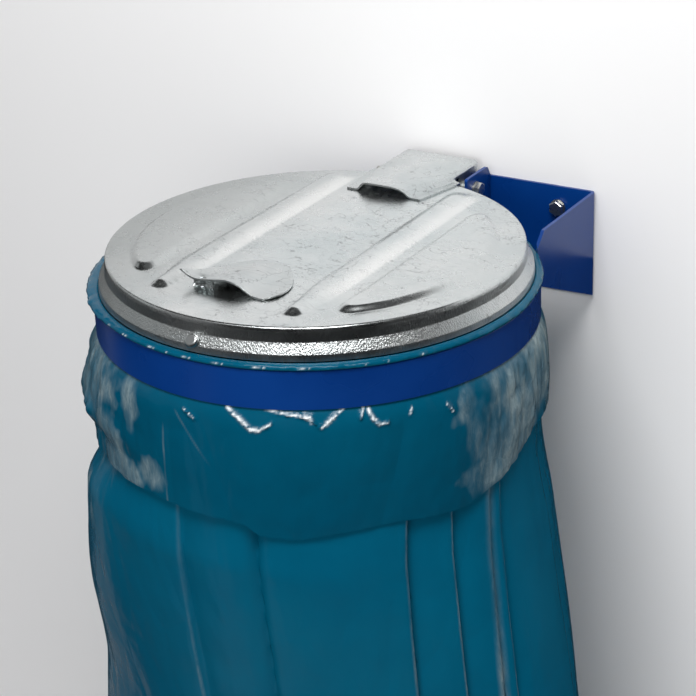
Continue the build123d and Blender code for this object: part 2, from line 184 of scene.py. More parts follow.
class Finish:
    """Material with one Principled shader, whose plain values are given by name."""

    def __init__(self, name, **plain):
        self.material = bpy.data.materials.new(name)
        self.material.use_nodes = True
        self.nodes = self.material.node_tree.nodes
        self.links = self.material.node_tree.links
        self.shader = self.nodes["Principled BSDF"]
        for key, value in plain.items():
            self.shader.inputs[key.replace("_", " ")].default_value = value
        self.place = self.node("ShaderNodeTexCoord", {}, {}, "Object")

    def feed(self, socket, value):
        if isinstance(value, Signal):
            self.links.new(value.socket, socket)
        else:
            socket.default_value = value

    def node(self, kind, settings, sockets, out=0):
        node = self.nodes.new(kind)
        for key, value in settings.items():
            if key == "stops":
                while len(node.color_ramp.elements) < len(value):
                    node.color_ramp.elements.new(0.5)
                for stop, (position, colour) in zip(node.color_ramp.elements, value):
                    stop.position, stop.color = position, (*colour, 1)
            else:
                setattr(node, key, value)
        for key, value in sockets.items():
            self.feed(node.inputs[key], value)
        return Signal(self, node.outputs[out])

    def stretched(self, scale):
        return self.node("ShaderNodeMapping", {}, {"Vector": self.place, "Scale": scale})

    def grain(self, scale, detail=3.0, rough=0.5, vector=None):
        return self.node("ShaderNodeTexNoise", {}, {
            "Vector": vector or self.place, "Scale": scale, "Detail": detail, "Roughness": rough})

    def cells(self, scale, feature="F1", out="Distance", vector=None):
        return self.node("ShaderNodeTexVoronoi", {"feature": feature},
                         {"Vector": vector or self.place, "Scale": scale}, out)

    def axis(self, name):
        """One Object coordinate of the piece, in metres."""
        return self.node("ShaderNodeSeparateXYZ", {}, {"Vector": self.place}, name)

    def painted(self, name):
        """A value that the piece keeps at each of its points."""
        return self.node("ShaderNodeAttribute", {"attribute_name": name}, {}, "Fac")

    def line(self, wave, middle, width):
        """Thin line along which the wave passes its middle."""
        return (wave - middle).size().span(0.0, width, 1.0, 0.0)

    def blend(self, share, first, last):
        return self.node("ShaderNodeMix", {"data_type": "RGBA"}, {0: share, 6: first, 7: last}, 2)

    def bump(self, height, distance, below=None):
        sockets = {"Height": height, "Distance": distance, "Strength": 1.0}
        if below:
            sockets["Normal"] = below
        return self.node("ShaderNodeBump", {}, sockets, "Normal")

    def set(self, **inputs):
        for key, value in inputs.items():
            self.feed(self.shader.inputs[key.replace("_", " ")], value)
        return self.material


def grey_zinc(red, green, blue, tint):
    return red * tint, green * tint, blue * tint, 1


def galvanised_sheet(name, tint=1.0, rough=0.24, dent=0.00030, brim_grain=0.0):
    """Zinc-coated sheet: faint spangle, dull patches, thin curved dark marks and shallow dents, with
    painted shade to both sides and a painted highlight on the ribs' flanks.
    """
    f = Finish(name, Metallic=1.0)
    grey = f.node("ShaderNodeSeparateColor", {}, {"Color": f.cells(190, out="Color")}, 0)
    dull_share = f.grain(13, 4).span(0.35, 0.68) * 0.7 + grey * 0.12
    bright, dull = grey_zinc(0.755, 0.77, 0.765, tint), grey_zinc(0.555, 0.61, 0.62, tint)
    colour = f.blend(dull_share, bright, dull)

    contour = f.line(f.grain(42, 3, 0.6), 0.5, 0.011) * f.grain(19, 2).span(0.47, 0.58)
    scratch = f.line(f.grain(24, 2, 0.4, f.stretched((1.0, 3.2, 1.0))), 0.48, 0.006)
    scratch = scratch * f.grain(11, 2).span(0.48, 0.56)
    colour = f.blend((contour + scratch) * 0.75, colour, (0.20, 0.21, 0.22, 1))

    across = f.axis("X")  # painted shade: the sheet is painted darker towards both sides, the left more
    colour = f.blend(across.span(0.02, 0.17) * 0.3, colour, grey_zinc(0.47, 0.49, 0.485, tint))
    colour = f.blend(across.span(-0.02, -0.16) * 0.9, colour, grey_zinc(0.42, 0.44, 0.435, tint))
    # painted highlight: the ribs' right-hand flanks are painted near white
    colour = f.blend(f.painted("rubbed") * 0.6, colour, grey_zinc(0.97, 0.965, 0.95, tint))

    dents = f.bump(f.grain(11, 2), dent * 3)
    ripple = f.bump(f.grain(75, 2), dent * 0.14, below=dents)
    fine = f.bump(f.grain(330, 2), dent * 0.05, below=ripple)
    brim = f.axis("Z").span(0.0315, 0.0285) * brim_grain
    bristle = f.bump(f.grain(900, 2, 0.6, f.stretched((1.0, 1.0, 0.25))) * brim, 0.00055, below=fine)
    smudges = f.grain(30, 5, 0.65).span(0.35, 0.7, rough - 0.04, rough + 0.06)
    return f.set(Base_Color=colour, Roughness=smudges + grey * 0.03 + brim * 0.07, Normal=bristle)


def plated_steel():
    """Bright zinc plate on bolts, washers and nut, a little yellowed."""
    f = Finish("zinc_plate", Metallic=1.0)
    wear = f.grain(260, 4)
    colour = f.blend(wear.span(0.35, 0.7), (0.66, 0.66, 0.63, 1), (0.46, 0.46, 0.44, 1))
    return f.set(Base_Color=colour, Roughness=wear.span(0.3, 0.7, 0.24, 0.42),
                 Normal=f.bump(f.grain(900, 2), 0.00002))


def blue_powder_coat():
    """Semi-gloss blue powder coat with its orange peel."""
    f = Finish("blue_powder_coat", IOR=1.4)
    cloud = f.grain(9, 3)
    colour = f.blend(cloud.span(0.35, 0.65), (0.0005, 0.030, 0.178, 1), (0.0012, 0.040, 0.215, 1))
    peel = f.bump(f.grain(620, 2), 0.000035)
    return f.set(Base_Color=colour, Roughness=cloud.span(0.3, 0.7, 0.24, 0.32), Normal=peel)


def teal_film(name, shade):
    """Glossy polyethylene film: fine crinkles, paler where crumpled (its whitening with painted sheen)
    and along painted fold highlights, white where it glints.
    """
    f = Finish(name, IOR=1.27)
    zone = f.painted("haze")
    cloud = f.grain(5.5, 4)
    deep, light = (0.0, 0.062 * shade, 0.116 * shade, 1), (0.0, 0.080 * shade, 0.140 * shade, 1)
    colour = f.blend(cloud.span(0.3, 0.7), deep, light)

    long_way = f.stretched((1.0, 1.0, 0.35))
    ridge = f.line(f.grain(36, 5, 0.6, long_way), 0.5, 0.10)
    thin = f.line(f.grain(90, 4, 0.6, long_way), 0.5, 0.06)
    # paler streaks: the crumpled film's whitening with painted sheen, and painted highlights along the
    # bag's folds
    pale = zone.span(0.05, 0.75) * f.grain(19, 6, 0.62, long_way).span(0.40, 0.60, 0.28, 1.0)
    pale = pale * (ridge * 0.45 + thin * 0.25 + 0.38)
    colour = f.blend(pale, colour, (0.27, 0.345, 0.36, 1))
    colour = f.blend(f.painted("glint"), colour, (0.93, 0.96, 0.97, 1))

    folds = f.cells(26, "DISTANCE_TO_EDGE", vector=long_way).span(0.0, 0.25)
    fine = f.cells(85, "DISTANCE_TO_EDGE", vector=long_way).span(0.0, 0.3)
    soft = f.bump(f.grain(14, 3), 0.0024)
    creases = f.bump(folds * f.grain(7, 2), 0.0009, below=soft)
    wrinkles = f.bump(fine * (zone * 0.9 + 0.1), 0.0005, below=creases)
    roughness = cloud.span(0.3, 0.7, 0.17, 0.27) + zone * 0.08
    return f.set(Base_Color=colour, Roughness=roughness, Normal=wrinkles)


# Stage, lamps and camera; the dark and pale cards are seen only in reflections

def stage_plane(name, size, middle, turn, material, **seen):
    nothing_selected()
    bpy.ops.mesh.primitive_plane_add(size=1)
    plane = bpy.context.object
    plane.name = name
    plane.scale = (*size, 1)
    plane.rotation_euler = [radians(t) for t in turn]
    plane.location = [m * MM for m in middle]
    bpy.ops.object.transform_apply(location=True, rotation=True, scale=True)
    plane.data.materials.append(material)
    for key, value in seen.items():
        setattr(plane, key, value)


def pale_paint(name, shade):
    """Matt wall or floor, seen through from behind."""
    f = Finish(name, Base_Color=(*shade, 1), Roughness=0.95, Specular_IOR_Level=0.1)
    behind = f.node("ShaderNodeNewGeometry", {}, {}, "Backfacing")
    clear = f.node("ShaderNodeBsdfTransparent", {}, {})
    shader = Signal(f, f.shader.outputs[0])
    mixed = f.node("ShaderNodeMixShader", {}, {0: behind, 1: shader, 2: clear})
    f.links.new(mixed.socket, f.nodes["Material Output"].inputs["Surface"])
    return f.material


stage_plane("wall", (3.2, 3.4), (-500, 0.4, 770), (90, 0, 0),
            pale_paint("wall_paint", (0.905, 0.90, 0.90)))
stage_plane("floor", (2.4, 1.2), (0, -600, FLOOR_Z), (0, 0, 0),
            pale_paint("floor_paint", (0.70, 0.70, 0.705)), visible_glossy=False)
left_glow = Finish("left_glow", Base_Color=(0, 0, 0, 1), Roughness=1.0,
                   Emission_Color=(0.42, 0.43, 0.43, 1), Emission_Strength=1.0)
dark_cloth = Finish("dark_cloth", Base_Color=(0.012, 0.013, 0.014, 1), Roughness=1.0)
REFLECTED_CARDS = [  # name, size in metres, middle in millimetres, turn in degrees, material
    ("dark_front", (6.4, 5.6), (1170, -2150, -600), (90, 0, 32), dark_cloth),
    ("dark_right", (5.0, 3.0), (2400, 0, -1700), (90, 0, 90), dark_cloth),
    ("dark_left", (3.4, 3.0), (-2300, -1900, -1800), (90, 0, 90), dark_cloth),
    ("pale_left", (1.4, 1.1), (-1500, -640, 680), (90, 0, 90), left_glow),
    ("dark_ceiling", (4.4, 1.3), (200, -520, 1900), (0, 0, 0), dark_cloth),
    ("dark_wall_foot", (3.4, 0.85), (100, -0.5, -470), (90, 0, 0), dark_cloth),
    ("dark_wall_top", (3.2, 1.6), (0, -3, 1290), (90, 0, 0), dark_cloth),
]
for card, size, middle, turn, surface in REFLECTED_CARDS:
    stage_plane(card, size, middle, turn, surface.material,
                visible_camera=False, visible_diffuse=False, visible_shadow=False)


def soft_lamp(name, place, aim, size, power, glossy=True):
    lamp = bpy.data.lights.new(name, "AREA")
    lamp.shape, lamp.size, lamp.size_y = "RECTANGLE", size[0], size[1]
    lamp.energy = power
    holder = bpy.data.objects.new(name, lamp)
    scene.collection.objects.link(holder)
    holder.location = place
    holder.rotation_euler = (Vector(aim) - Vector(place)).to_track_quat("-Z", "Y").to_euler()
    holder.visible_glossy = glossy


soft_lamp("overhead", (0.36, -1.16, 1.45), (0.02, -0.30, 0), (1.05, 0.56), 26)
soft_lamp("from_above", (0.15, -0.80, 1.75), (0.0, -0.15, 0), (1.6, 1.0), 7, glossy=False)
soft_lamp("fill", (0.3, -2.4, 0.5), (0, -0.2, -0.2), (1.6, 1.2), 17, glossy=False)

SKY_STRENGTH, SEEN_SKY_EXTRA = 0.18, 0.55  # dim to the object, pale to the camera
world = bpy.data.worlds.new("studio")
scene.world = world
world.use_nodes = True
sky_nodes, sky_links = world.node_tree.nodes, world.node_tree.links
sky_nodes["Background"].inputs["Color"].default_value = (0.97, 0.98, 1.0, 1)
strength = sky_nodes.new("ShaderNodeMath")
strength.operation = "MULTIPLY_ADD"
strength.inputs[1].default_value, strength.inputs[2].default_value = SEEN_SKY_EXTRA, SKY_STRENGTH
sky_links.new(sky_nodes.new("ShaderNodeLightPath").outputs["Is Camera Ray"], strength.inputs[0])
sky_links.new(strength.outputs[0], sky_nodes["Background"].inputs["Strength"])

CAMERA_PLACE, CAMERA_LENS, CAMERA_ROLL = (0.895, -1.636, 0.690), 103.4, -0.040
camera_data = bpy.data.cameras.new("photo_view")
camera_data.lens, camera_data.sensor_width = CAMERA_LENS, 36.0
camera = bpy.data.objects.new("photo_view", camera_data)
scene.collection.objects.link(camera)
scene.camera = camera
forward = Vector((-0.480, 0.771, -0.419)).normalized()
level_right = forward.cross(Vector((0, 0, 1))).normalized()
level_up = level_right.cross(forward)
right = level_right * cos(CAMERA_ROLL) + level_up * sin(CAMERA_ROLL)
up = right.cross(forward)
camera.matrix_world = Matrix((
    (right.x, up.x, -forward.x, CAMERA_PLACE[0]),
    (right.y, up.y, -forward.y, CAMERA_PLACE[1]),
    (right.z, up.z, -forward.z, CAMERA_PLACE[2]),
    (0, 0, 0, 1),
))


# Lid: the sheet's profile from the middle to the skirt's edge

def rounded_path(corners, radius, arc_steps):
    """Points of a bent line, each inner corner rounded."""
    path = [Vector(corners[0])]
    for before, corner, after in zip(corners, corners[1:], corners[2:]):
        corner = Vector(corner)
        into = (Vector(before) - corner).normalized()
        out = (Vector(after) - corner).normalized()
        half = into.angle(out) / 2
        reach = radius / tan(half)
        start, end = corner + into * reach, corner + out * reach
        for step in range(arc_steps + 1):
            share = step / arc_steps
            path.append((start.lerp(corner, share)).lerp(corner.lerp(end, share), share))
    path.append(Vector(corners[-1]))
    return path


def stepped(path):
    """The lid's profile with its long stretches divided."""
    points = [path[0]]
    for end in path[1:]:
        while (end - points[-1]).length > lid_step(points[-1].x) * 1.2:
            points.append(points[-1] + (end - points[-1]).normalized() * lid_step(points[-1].x))
        points.append(end)
    return points


LID_CORNERS = [(0.4, LID_TOP), (187.0, LID_TOP), (188.2, 20.5), (193.8, 11.5), (194.6, 6.2)]
LID_STEPS = 440
LID_SHEET, LID_BEND = 1.2, 2.6
LID_FLAT_RADIUS, LID_FLAT_END = 176, 186
RIB_MIDDLE, RIB_HALF, RIB_RISE, RIB_LEAN = 67.0, 16.0, 4.6, 3.5
RIB_FRONT, RIB_BACK, RIB_FULL_WIDTH = -149.0, 168.0, -75
PAD_EDGE, PAD_ROUND, PAD_RISE, PAD_CORNER = 93.0, 165.0, 4.4, 20.0
PAD_STEEP, PAD_GENTLE = 6.5, 3.5  # width of the pad's slope at the front, and what it gains behind


def lid_step(radius):
    """Spacing of the lid's rings: fine where the ribs and pads end."""
    if radius < 48:
        return 5.0
    return 1.35 if 137 < radius < 170 else 2.7


def rib_height(x, y):
    """Long rounded rib: steep foot on its left, broad flank on its right, narrow blunt nose."""
    height = 0.0
    taper = 0.5 + 0.5 * ease(RIB_FRONT, RIB_FULL_WIDTH, y)
    nose = ease(RIB_FRONT - 1, RIB_FRONT + 9, y)
    back = ease(RIB_BACK, RIB_BACK - 26, y)
    for middle in (-RIB_MIDDLE, RIB_MIDDLE):
        aside = x - middle + RIB_LEAN * taper
        half = (RIB_HALF - RIB_LEAN if aside < 0 else RIB_HALF + RIB_LEAN) * taper
        height += RIB_RISE * nose * back * max(0.0, 1 - (aside / half) ** 2) ** 1.1
    return height


def pad_height(x, y):
    """Raised pad with one straight and one round edge, its front end steep."""
    from_edge, from_round = abs(x) - PAD_EDGE, PAD_ROUND - hypot(x, y)
    inside = min(from_edge, from_round)
    first, second = PAD_CORNER - from_edge, PAD_CORNER - from_round
    if first > 0 and second > 0:
        inside = PAD_CORNER - hypot(first, second)
    slope = PAD_STEEP + PAD_GENTLE * ease(-112, -70, y)
    return PAD_RISE * ease(0, slope, inside)


def lid_dents(x, y):
    """Shallow waves of a lid that has been pressed and dipped."""
    wave = 0.28 * noise.noise(Vector((x / 75, y / 75, 1)))
    wave += 0.10 * noise.noise(Vector((x / 26, y / 26, 4)))
    ding = 0.55 * exp(-hypot((x + 128) / 17, (y - 22) / 5) ** 2)
    ding += 0.8 * exp(-hypot((x - 147) / 14, (y - 18) / 3.4) ** 2)
    ding += 0.35 * exp(-hypot((x - 128) / 4, (y + 60) / 34) ** 2)
    return wave - ding


def curve_through(places, values, place):
    """Smooth curve through the values at the places."""
    last = len(places) - 1
    step = next((i for i in range(last) if place <= places[i + 1]), last - 1)
    share = min(1.0, max(0.0, (place - places[step]) / (places[step + 1] - places[step])))
    low, high = values[step], values[step + 1]
    into = (high - values[max(0, step - 1)]) / 2
    out = (values[min(last, step + 2)] - low) / 2
    square, cube = share ** 2, share ** 3
    return (low * (2 * cube - 3 * square + 1) + into * (cube - 2 * square + share)
            + high * (3 * square - 2 * cube) + out * (cube - square))


def sheet_grid(name, across, along, place):
    """Flat grid whose points are moved to place(share across, share along), in millimetres."""
    nothing_selected()
    bpy.ops.mesh.primitive_grid_add(x_subdivisions=across, y_subdivisions=along, size=1)
    sheet = named(name)
    for vertex in sheet.data.vertices:
        x, y, z = place(vertex.co.x + 0.5, vertex.co.y + 0.5)
        vertex.co = (x * MM, (AXIS_Y + y) * MM, z * MM)
    return sheet


def make_lid():
    path = stepped(rounded_path(LID_CORNERS, LID_BEND, 5))
    lid = ring_stack("lid_pressed", [tuple(point) for point in path], LID_STEPS)
    # painted highlight: marks the ribs' right-hand flanks, fading out towards the ribs' front ends
    rubbed = lid.data.attributes.new("rubbed", "FLOAT", "POINT")
    for vertex in lid.data.vertices:
        radius, height = path[vertex.index // LID_STEPS]
        turn = atan2(vertex.co.y - AXIS_Y * MM, vertex.co.x)
        x, y = radius * cos(turn), radius * sin(turn)
        flat = ease(LID_FLAT_END, LID_FLAT_RADIUS, radius)
        fall = rib_height(x - 1, y) - rib_height(x + 1, y)
        rubbed.data[vertex.index].value = ease(0.05, 0.8, fall) * ease(RIB_FRONT + 8, -60, y) * flat
        height += rib_height(x, y) + pad_height(x, y) + lid_dents(x, y) * flat
        ripple = 0.12 * noise.noise(Vector((9 * cos(turn), 9 * sin(turn), height / 9)))
        grow = 1 + (1 - flat) * ripple / radius
        vertex.co = (x * grow * MM, (AXIS_Y + y * grow) * MM, height * MM)
    picked(lid, lambda index: index < LID_STEPS)
    bpy.ops.mesh.merge(type="CENTER")
    bpy.ops.object.mode_set(mode="OBJECT")
    on_all_faces(lid, bpy.ops.mesh.normals_make_consistent, inside=False)
    if lid.data.polygons[0].normal.z < 0:
        on_all_faces(lid, bpy.ops.mesh.flip_normals)
    modified(lid, "SOLIDIFY", thickness=LID_SHEET * MM, offset=-1)
    smoothed(lid, 50)
    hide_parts("lid_shell")
    return lid


# Finger grip, pressed from its own plate
GRIP_STATIONS = (-52, -38, -28, -20, -5, 8, 17.5, 25, 36, 48)
GRIP_FRONT = (10.5, 7.0, 7.4, 8.6, 10.4, 7.4, 2.4, 0.3, 0.8, 1.4)
GRIP_BACK = (0.8, 0.3, 0.3, 0.5, 1.0, 0.5, 0.3, 0.3, 0.3, 0.4)
GRIP_DEPTH, GRIP_SHEET, GRIP_FRONT_Y = 71.0, 1.5, -133.0
GRIP_LEFT = [(0, -52), (3, -51.6), (8, -49.5), (14, -46.5), (36, -39), (58, -29), (71, -20)]
GRIP_RIGHT = [(0, 31), (2, 33), (6, 36), (12, 38.8), (18, 40), (27, 40), (36, 37.5), (48, 31),
              (60, 22), (71, 10)]
GRIP_FOOT_LEFT, GRIP_FOOT_WIDTH = -41, 20


def make_grip():
    def place(share, along):
        depth = along * GRIP_DEPTH
        left, right = between(GRIP_LEFT, depth), between(GRIP_RIGHT, depth)
        x = left + share * (right - left)
        front = curve_through(GRIP_STATIONS, GRIP_FRONT, x)
        back = curve_through(GRIP_STATIONS, GRIP_BACK, x)
        lift = LID_TOP + back + (front - back) * (1 - along) ** 1.08 + GRIP_SHEET
        lift += 0.30 * noise.noise(Vector((x / 14, depth / 18, 3))) * (1 - along)
        leaf = exp(-hypot((x + 34) / 8, (depth - 8) / 4.5) ** 2)
        tip = 2.2 * ease(-42, -52, x) * ease(16, 0, depth)
        return x, GRIP_FRONT_Y + depth, lift - 1.5 * leaf + tip

    grip = sheet_grid("grip_pressed", 110, 80, place)
    modified(grip, "SOLIDIFY", thickness=GRIP_SHEET * MM, offset=-1)
    modified(grip, "BEVEL", width=0.45 * MM, segments=2, limit_method="ANGLE", angle_limit=radians(60))
    smoothed(grip, 50)
    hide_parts("lid_handle")
    return grip


def make_grip_foot():
    """Crumpled tab that holds the grip's left wing to the lid."""
    def place(share, along):
        x = GRIP_FOOT_LEFT + GRIP_FOOT_WIDTH * share
        top = LID_TOP + curve_through(GRIP_STATIONS, GRIP_FRONT, x) + 0.5
        crumple = noise.noise(Vector((x / 3.2, along * 2.3, 8)))
        y = GRIP_FRONT_Y + 4.5 + 2.2 * crumple - 2.5 * (1 - along) + 2.0 * sin(pi * share)
        return x + 0.8 * crumple, y, LID_TOP - 0.3 + along * (top - LID_TOP)

    foot = sheet_grid("grip_foot", 40, 16, place)
    modified(foot, "SOLIDIFY", thickness=LID_SHEET * MM, offset=-1)
    smoothed(foot, 35)
    return foot


# Hinge strap: half of each section, from the wing's or flange's end to the middle
KNUCKLE_Y, KNUCKLE_Z, KNUCKLE = 211.0, 19.5, 13.0
STRAP_FRONT, STRAP_REAR, STRAP_SHEET = 128.0, 234.5, 1.6
FLANGE_START, FLANGE_UPRIGHT = 182, 188  # where the wings turn down into upright flanges
FLANGE_X, FLANGE_TOP, FLANGE_POINTS = 40, 37, 3
ARCH_LEFT = [(-44, 34.7), (-39, 34.7), (-33.5, 34.9), (-31, 37.0), (-28, 40.3), (-23, 42.0),
             (-12, 42.5), (-4, 42.4)]
ARCH_RIGHT = [(35, 34.7), (30, 34.7), (25.0, 34.9), (22.0, 36.0), (18.5, 38.4), (13, 40.9),
              (5, 42.2), (-4, 42.4)]
STRAP_CREASE = [(48, 34.7), (44, 34.7), (41, 35.0), (40, 37.0), (38.8, 38.9), (35.5, 39.8),
                (20, 40.0), (0, 40.0)]


def flange_foot(y):
    """Lower edge of the strap's side, with a round knuckle at the hinge."""
    aside = abs(y - KNUCKLE_Y)
    knuckle_end = KNUCKLE_Y + KNUCKLE * 0.9
    ramp = LID_TOP + 1.5
    if aside < KNUCKLE:
        ramp = min(ramp, KNUCKLE_Z - (KNUCKLE ** 2 - aside ** 2) ** 0.5)
    if y > knuckle_end:
        ramp = min(ramp, between([(knuckle_end, KNUCKLE_Z), (STRAP_REAR, LID_TOP)], y))
    return ramp


def on_section(corners, step):
    """Point (x, z) of a section, step corners from its edge."""
    steps = range(len(corners))
    return [curve_through(steps, [corner[axis] for corner in corners], step) for axis in (0, 1)]


def strap_point(side, step, y):
    """Point of the strap's section; step counts from the edge to the middle."""
    first = on_section(ARCH_LEFT if side < 0 else ARCH_RIGHT, step)
    crease = on_section(STRAP_CREASE, step)
    blend = min(1.0, (y - STRAP_FRONT) / (FLANGE_START - STRAP_FRONT))
    x = first[0] + (side * crease[0] - first[0]) * blend
    z = first[1] + (crease[1] - first[1]) * blend
    turned = ease(FLANGE_START, FLANGE_UPRIGHT, y)
    if step < FLANGE_POINTS and turned:
        foot = flange_foot(y)
        x += (side * FLANGE_X - x) * turned
        z += (foot + (FLANGE_TOP - foot) * step / FLANGE_POINTS - z) * turned
    return x, z


def make_strap():
    def place(share, along):
        y = STRAP_FRONT + along * (STRAP_REAR - STRAP_FRONT)
        side = -1 if share < 0.5 else 1
        x, z = strap_point(side, (len(STRAP_CREASE) - 1) * (1 - abs(2 * share - 1)), y)
        z += 0.12 * noise.noise(Vector((x / 16, y / 16, 5)))
        return x, y, z

    strap = sheet_grid("strap_pressed", 160, 96, place)
    modified(strap, "SOLIDIFY", thickness=STRAP_SHEET * MM, offset=-1)
    modified(strap, "BEVEL", width=0.7 * MM, segments=3, limit_method="ANGLE", angle_limit=radians(60))
    smoothed(strap, 50)
    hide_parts("hinge_strap")
    return strap


# Bag's cuff; angles in degrees round the band, 0 being the right side and -90 the front

CUFF_EDGE = [  # angle and height of the cuff's lower edge
    (-180, -128), (-140, -133), (-123.6, -135), (-115.8, -138), (-108, -136.5), (-101, -136),
    (-88.8, -138), (-82, -139), (-77, -142), (-73.5, -151), (-64, -153), (-54.7, -147.5),
    (-45, -145), (-40, -144), (-34, -146), (-21.2, -148), (-16.3, -144), (-10.8, -139),
    (-6.7, -134), (-2, -129), (3.6, -120), (11, -112), (30, -108), (60, -116), (95, -126),
    (130, -121), (160, -125), (180, -128),
]
CUFF_STEPS, CUFF_ROWS = 600, 56
CUFF_RADIUS, CUFF_DROP = 205, 115
CUFF_FILM, BAG_FILM = 0.35, 0.30
FILM_RADIUS = 197.2          # where the film passes between the ring and the band
CUFF_BULGE = 8.4             # how far the cuff stands out below the band
CUFF_FOLDS = [  # angle at the band, angle at the edge, depth, width on the near side and the far side
    (-112, -118, 2.6, 2.5, 9), (-97, -96.5, 1.1, 0.8, 10), (-88, -80, 0.9, 1.0, 9),
    (-36, -45, 3.2, 9, 7), (-24, -22, 1.4, 4, 6), (-12, -16, 2.2, 2, 6), (-4, -2, 2.4, 1.5, 5),
    (9, 6, 2.2, 2, 6), (24, 22, 2.5, 2, 7), (44, 40, 2.0, 2, 8), (70, 74, 2.4, 3, 8),
    (98, 94, 2.0, 2, 9), (124, 128, 2.6, 2, 8), (150, 146, 2.2, 2, 9), (172, 176, 2.6, 2, 8),
    (-164, -160, 2.2, 2, 8), (-146, -140, 3.4, 4, 5), (-131, -127, 3.0, 3, 4),
]
CUFF_SWELL = [  # millimetres below the band, and how far the left side swells out there
    (0, 0), (8, 1.5), (58, 14), (64, 13), (78, 4), (100, 5), (130, 5),
]
CREASE_LINES = [  # raised creases under the band: angle and height of their corners
    [(-80.5, -36), (-77, -44), (-74.3, -52), (-72.5, -52), (-69.5, -46)],
    [(-72, -34), (-66, -38), (-60.3, -40.5)],
    [(-62, -38), (-60.4, -41), (-57.7, -49), (-55.5, -42), (-52.3, -34)],
    [(-48.6, -43), (-47.5, -34)],
    [(-46.6, -38), (-45.8, -45), (-44.4, -51), (-42.5, -50)],
    [(-36.8, -47), (-36.2, -42)],
    [(-92, -44), (-89, -50)],
    [(-27, -46), (-25.5, -55)],
]
GLINT_LINES = [  # white glints of the creases: half width in millimetres, then their corners
    (1.5, [(-80.5, -36), (-78.5, -41), (-77, -44)]),
    (1.9, [(-77, -44), (-74.3, -52), (-72.5, -52)]),
    (1.0, [(-72.5, -52), (-69.5, -46)]),
    (0.9, [(-72, -34.5), (-66, -38), (-60.3, -40.5)]),
    (1.7, [(-61.5, -39), (-60.4, -42), (-60.0, -44)]),
    (1.0, [(-57.7, -49), (-55.5, -42), (-52.3, -35)]),
    (1.8, [(-56.6, -46), (-55, -42)]),
    (0.8, [(-48.6, -43), (-47.5, -34)]),
    (1.5, [(-46.6, -38), (-45.8, -45), (-44.4, -50)]),
    (0.9, [(-44.4, -51), (-42.5, -50)]),
    (0.7, [(-36.8, -47), (-36.2, -42)]),
    (0.7, [(-92, -44), (-89, -50)]),
    (0.6, [(-27, -46), (-25.5, -55)]),
]
ROLL_GLINTS = [  # glints on the film's roll: angle and half width in degrees
    (-119, 0.5), (-112, 0.3), (-110.8, 0.5), (-101.5, 0.9), (-100.2, 0.3), (-96, 0.3), (-91, 0.8),
    (-89.6, 0.3), (-82.5, 1.0), (-80.8, 0.3), (-72.4, 1.2), (-70.5, 0.4), (-61.5, 1.0), (-59.9, 0.3),
    (-47, 0.25), (-41.5, 0.25), (-33, 0.4),
]
WHITENING_AND_SHEEN_PATCHES = [  # where the crumpled film is painted pale, its whitening with painted sheen: angle, height, their half sizes, strength
    (-138, -58, 17, 34, 1.0), (-122, -98, 6, 22, 0.8), (-118, -126, 9, 16, 1.0), (-111, -56, 3, 26, 0.55),
    (-104, -118, 5, 14, 0.5), (8, -62, 22, 40, 1.1), (-5, -100, 13, 28, 1.0), (-12, -124, 9, 17, 1.0),
    (-21, -52, 2.6, 15, 0.9), (-19, -84, 3, 22, 0.6),
]
ROLL = [  # radius and height of the film over the ring, and how much the loose roll moves it
    (193.0, -16, 0), (193.0, -8, 0), (193.1, -2, 0), (193.4, 2.0, 0), (194.1, 4.2, 0),
    (195.2, 5.4, 0), (196.6, 5.85, 0.05), (198.2, 5.8, 0.25), (199.9, 5.5, 0.5), (201.3, 4.7, 0.8),
    (202.2, 3.5, 1), (202.3, 2.3, 1), (201.6, 1.3, 0.7), (200.2, 0.75, 0.3), (198.8, 0.55, 0),
    (197.8, 0.2, 0), (197.3, -0.9, 0), (197.2, -4, 0), (197.2, -12, 0), (197.2, -24, 0), (197.2, -33, 0),
]
ROLL_CREST = 10              # row of the roll on which its glints lie
DEGREE_ON_FILM = 3.6         # millimetres of film round the band for one degree


def outward(angle):
    turn = radians(angle)
    return Vector((cos(turn), sin(turn), 0))


def creased(place, size, seed=0.0):
    """Height of crumpled film, about 0 to 1: flat facets that meet in ridges."""
    spot = Vector(place) / size + Vector((seed, 2.3 * seed, -seed))
    near_ones = noise.voronoi(spot)[0]
    small_ones = noise.voronoi(spot * 2.1 + Vector((5, 1, 3)))[0]
    return (near_ones[1] - near_ones[0]) + 0.45 * (small_ones[1] - small_ones[0])


FOLD_LEAN = 2.2              # the folds have drifted in full where their share reaches 1 / 2.2


def drifted(top, foot, share):
    """Angle of a fold's line, that leans over the upper half and then hangs straight."""
    return top + (foot - top) * min(1.0, FOLD_LEAN * share)


def gathered(angle, share, folds):
    """How far the folds pull the film in at an angle, their lines drifting down the bag."""
    depth = 0.0
    for top, foot, fold_depth, near_side, far_side in folds:
        off = off_angle(angle, drifted(top, foot, share))
        width = far_side if off > 0 else near_side
        if abs(off) < 4 * width:
            depth += fold_depth * exp(-abs(off) / width)
    return depth


def line_gap(angle, height, line):
    """Distance on the film, in millimetres, to a bent line of (angle, height) corners."""
    spot = Vector((DEGREE_ON_FILM * angle, height))
    gap = 1e3
    for start, end in zip(line, line[1:]):
        start = Vector((DEGREE_ON_FILM * start[0], start[1]))
        end = Vector((DEGREE_ON_FILM * end[0], end[1]))
        along = end - start
        share = min(1.0, max(0.0, (spot - start).dot(along) / along.length_squared))
        gap = min(gap, (spot - start - along * share).length)
    return gap


